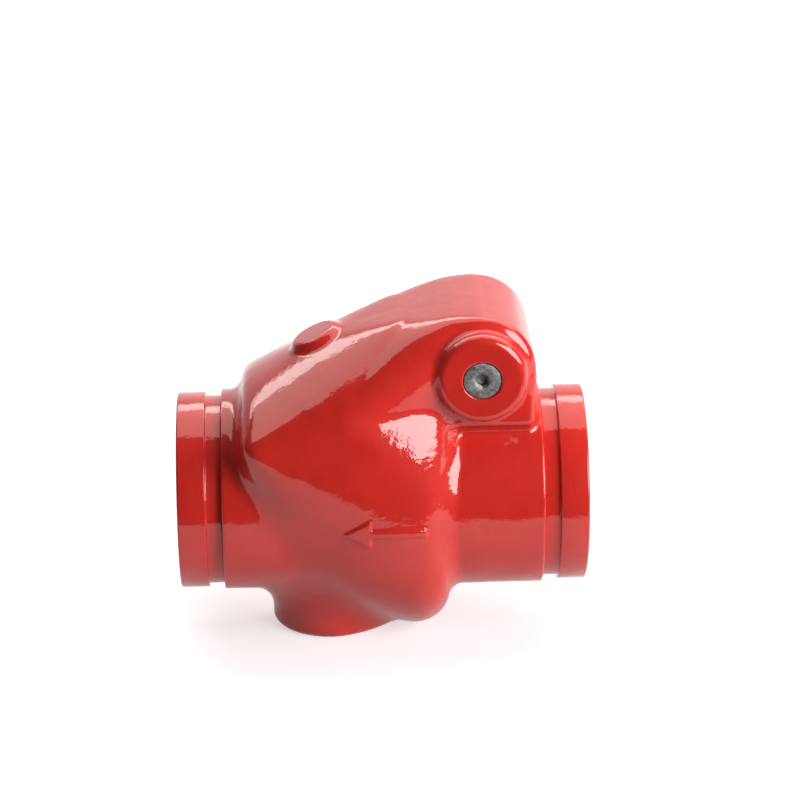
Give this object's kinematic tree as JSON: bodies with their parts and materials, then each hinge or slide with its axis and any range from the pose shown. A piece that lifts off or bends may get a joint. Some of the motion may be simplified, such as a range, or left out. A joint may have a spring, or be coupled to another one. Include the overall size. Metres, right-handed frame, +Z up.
{
  "type": "swing non-return valve",
  "caption": "Grooved-end swing non-return valve with a cast casing, hinged spring-assisted clapper, seat ring, hinge pin and side plugs.",
  "frame": {"origin": "on the resting plane under mid-length, below the waterway axis", "axes": "+X towards the inlet end, +Y away from the viewer's side of the casing, +Z up from the drain boss to the hinge"},
  "size_m": [0.236, 0.138, 0.2],
  "materials": {
    "red_casting": "glossy red paint over cast iron",
    "seat_brass": "machined",
    "clapper_iron": "coated casting",
    "black_rubber": "matt",
    "stainless": "turned",
    "bush_bronze": "turned",
    "plug_steel": "dark phosphated steel"
  },
  "bodies": {
    "casing_body": {"body_casting": "red_casting", "seat_ring": "seat_brass", "seat_seal": "black_rubber", "hinge_pin": "stainless", "thrust_washer_near": "bush_bronze", "thrust_washer_far": "bush_bronze", "spring_sleeve": "stainless", "closing_spring": "stainless", "pin_plug_near": "plug_steel", "pin_plug_far": "plug_steel", "plug_seal_near": "black_rubber", "plug_seal_far": "black_rubber"},
    "clapper_body": {"clapper": "clapper_iron", "clapper_facing": "black_rubber", "facing_retainer": "stainless", "bolt_seal_washer": "black_rubber", "clapper_bolt": "stainless", "lock_washer": "stainless", "clapper_nut": "stainless", "bush_near": "bush_bronze", "bush_far": "bush_bronze"}
  },
  "joints": [
    {"name": "clapper_swing", "type": "hinge", "parent": "casing_body", "child": "clapper_body", "pos_m": [0.0565, 0, 0.1685], "axis": [0, 1, 0], "range_deg": [0, 54], "stiffness_Nm_per_rad": 0.35, "springref_deg": -22.92, "deforming": ["closing_spring"]}
  ]
}
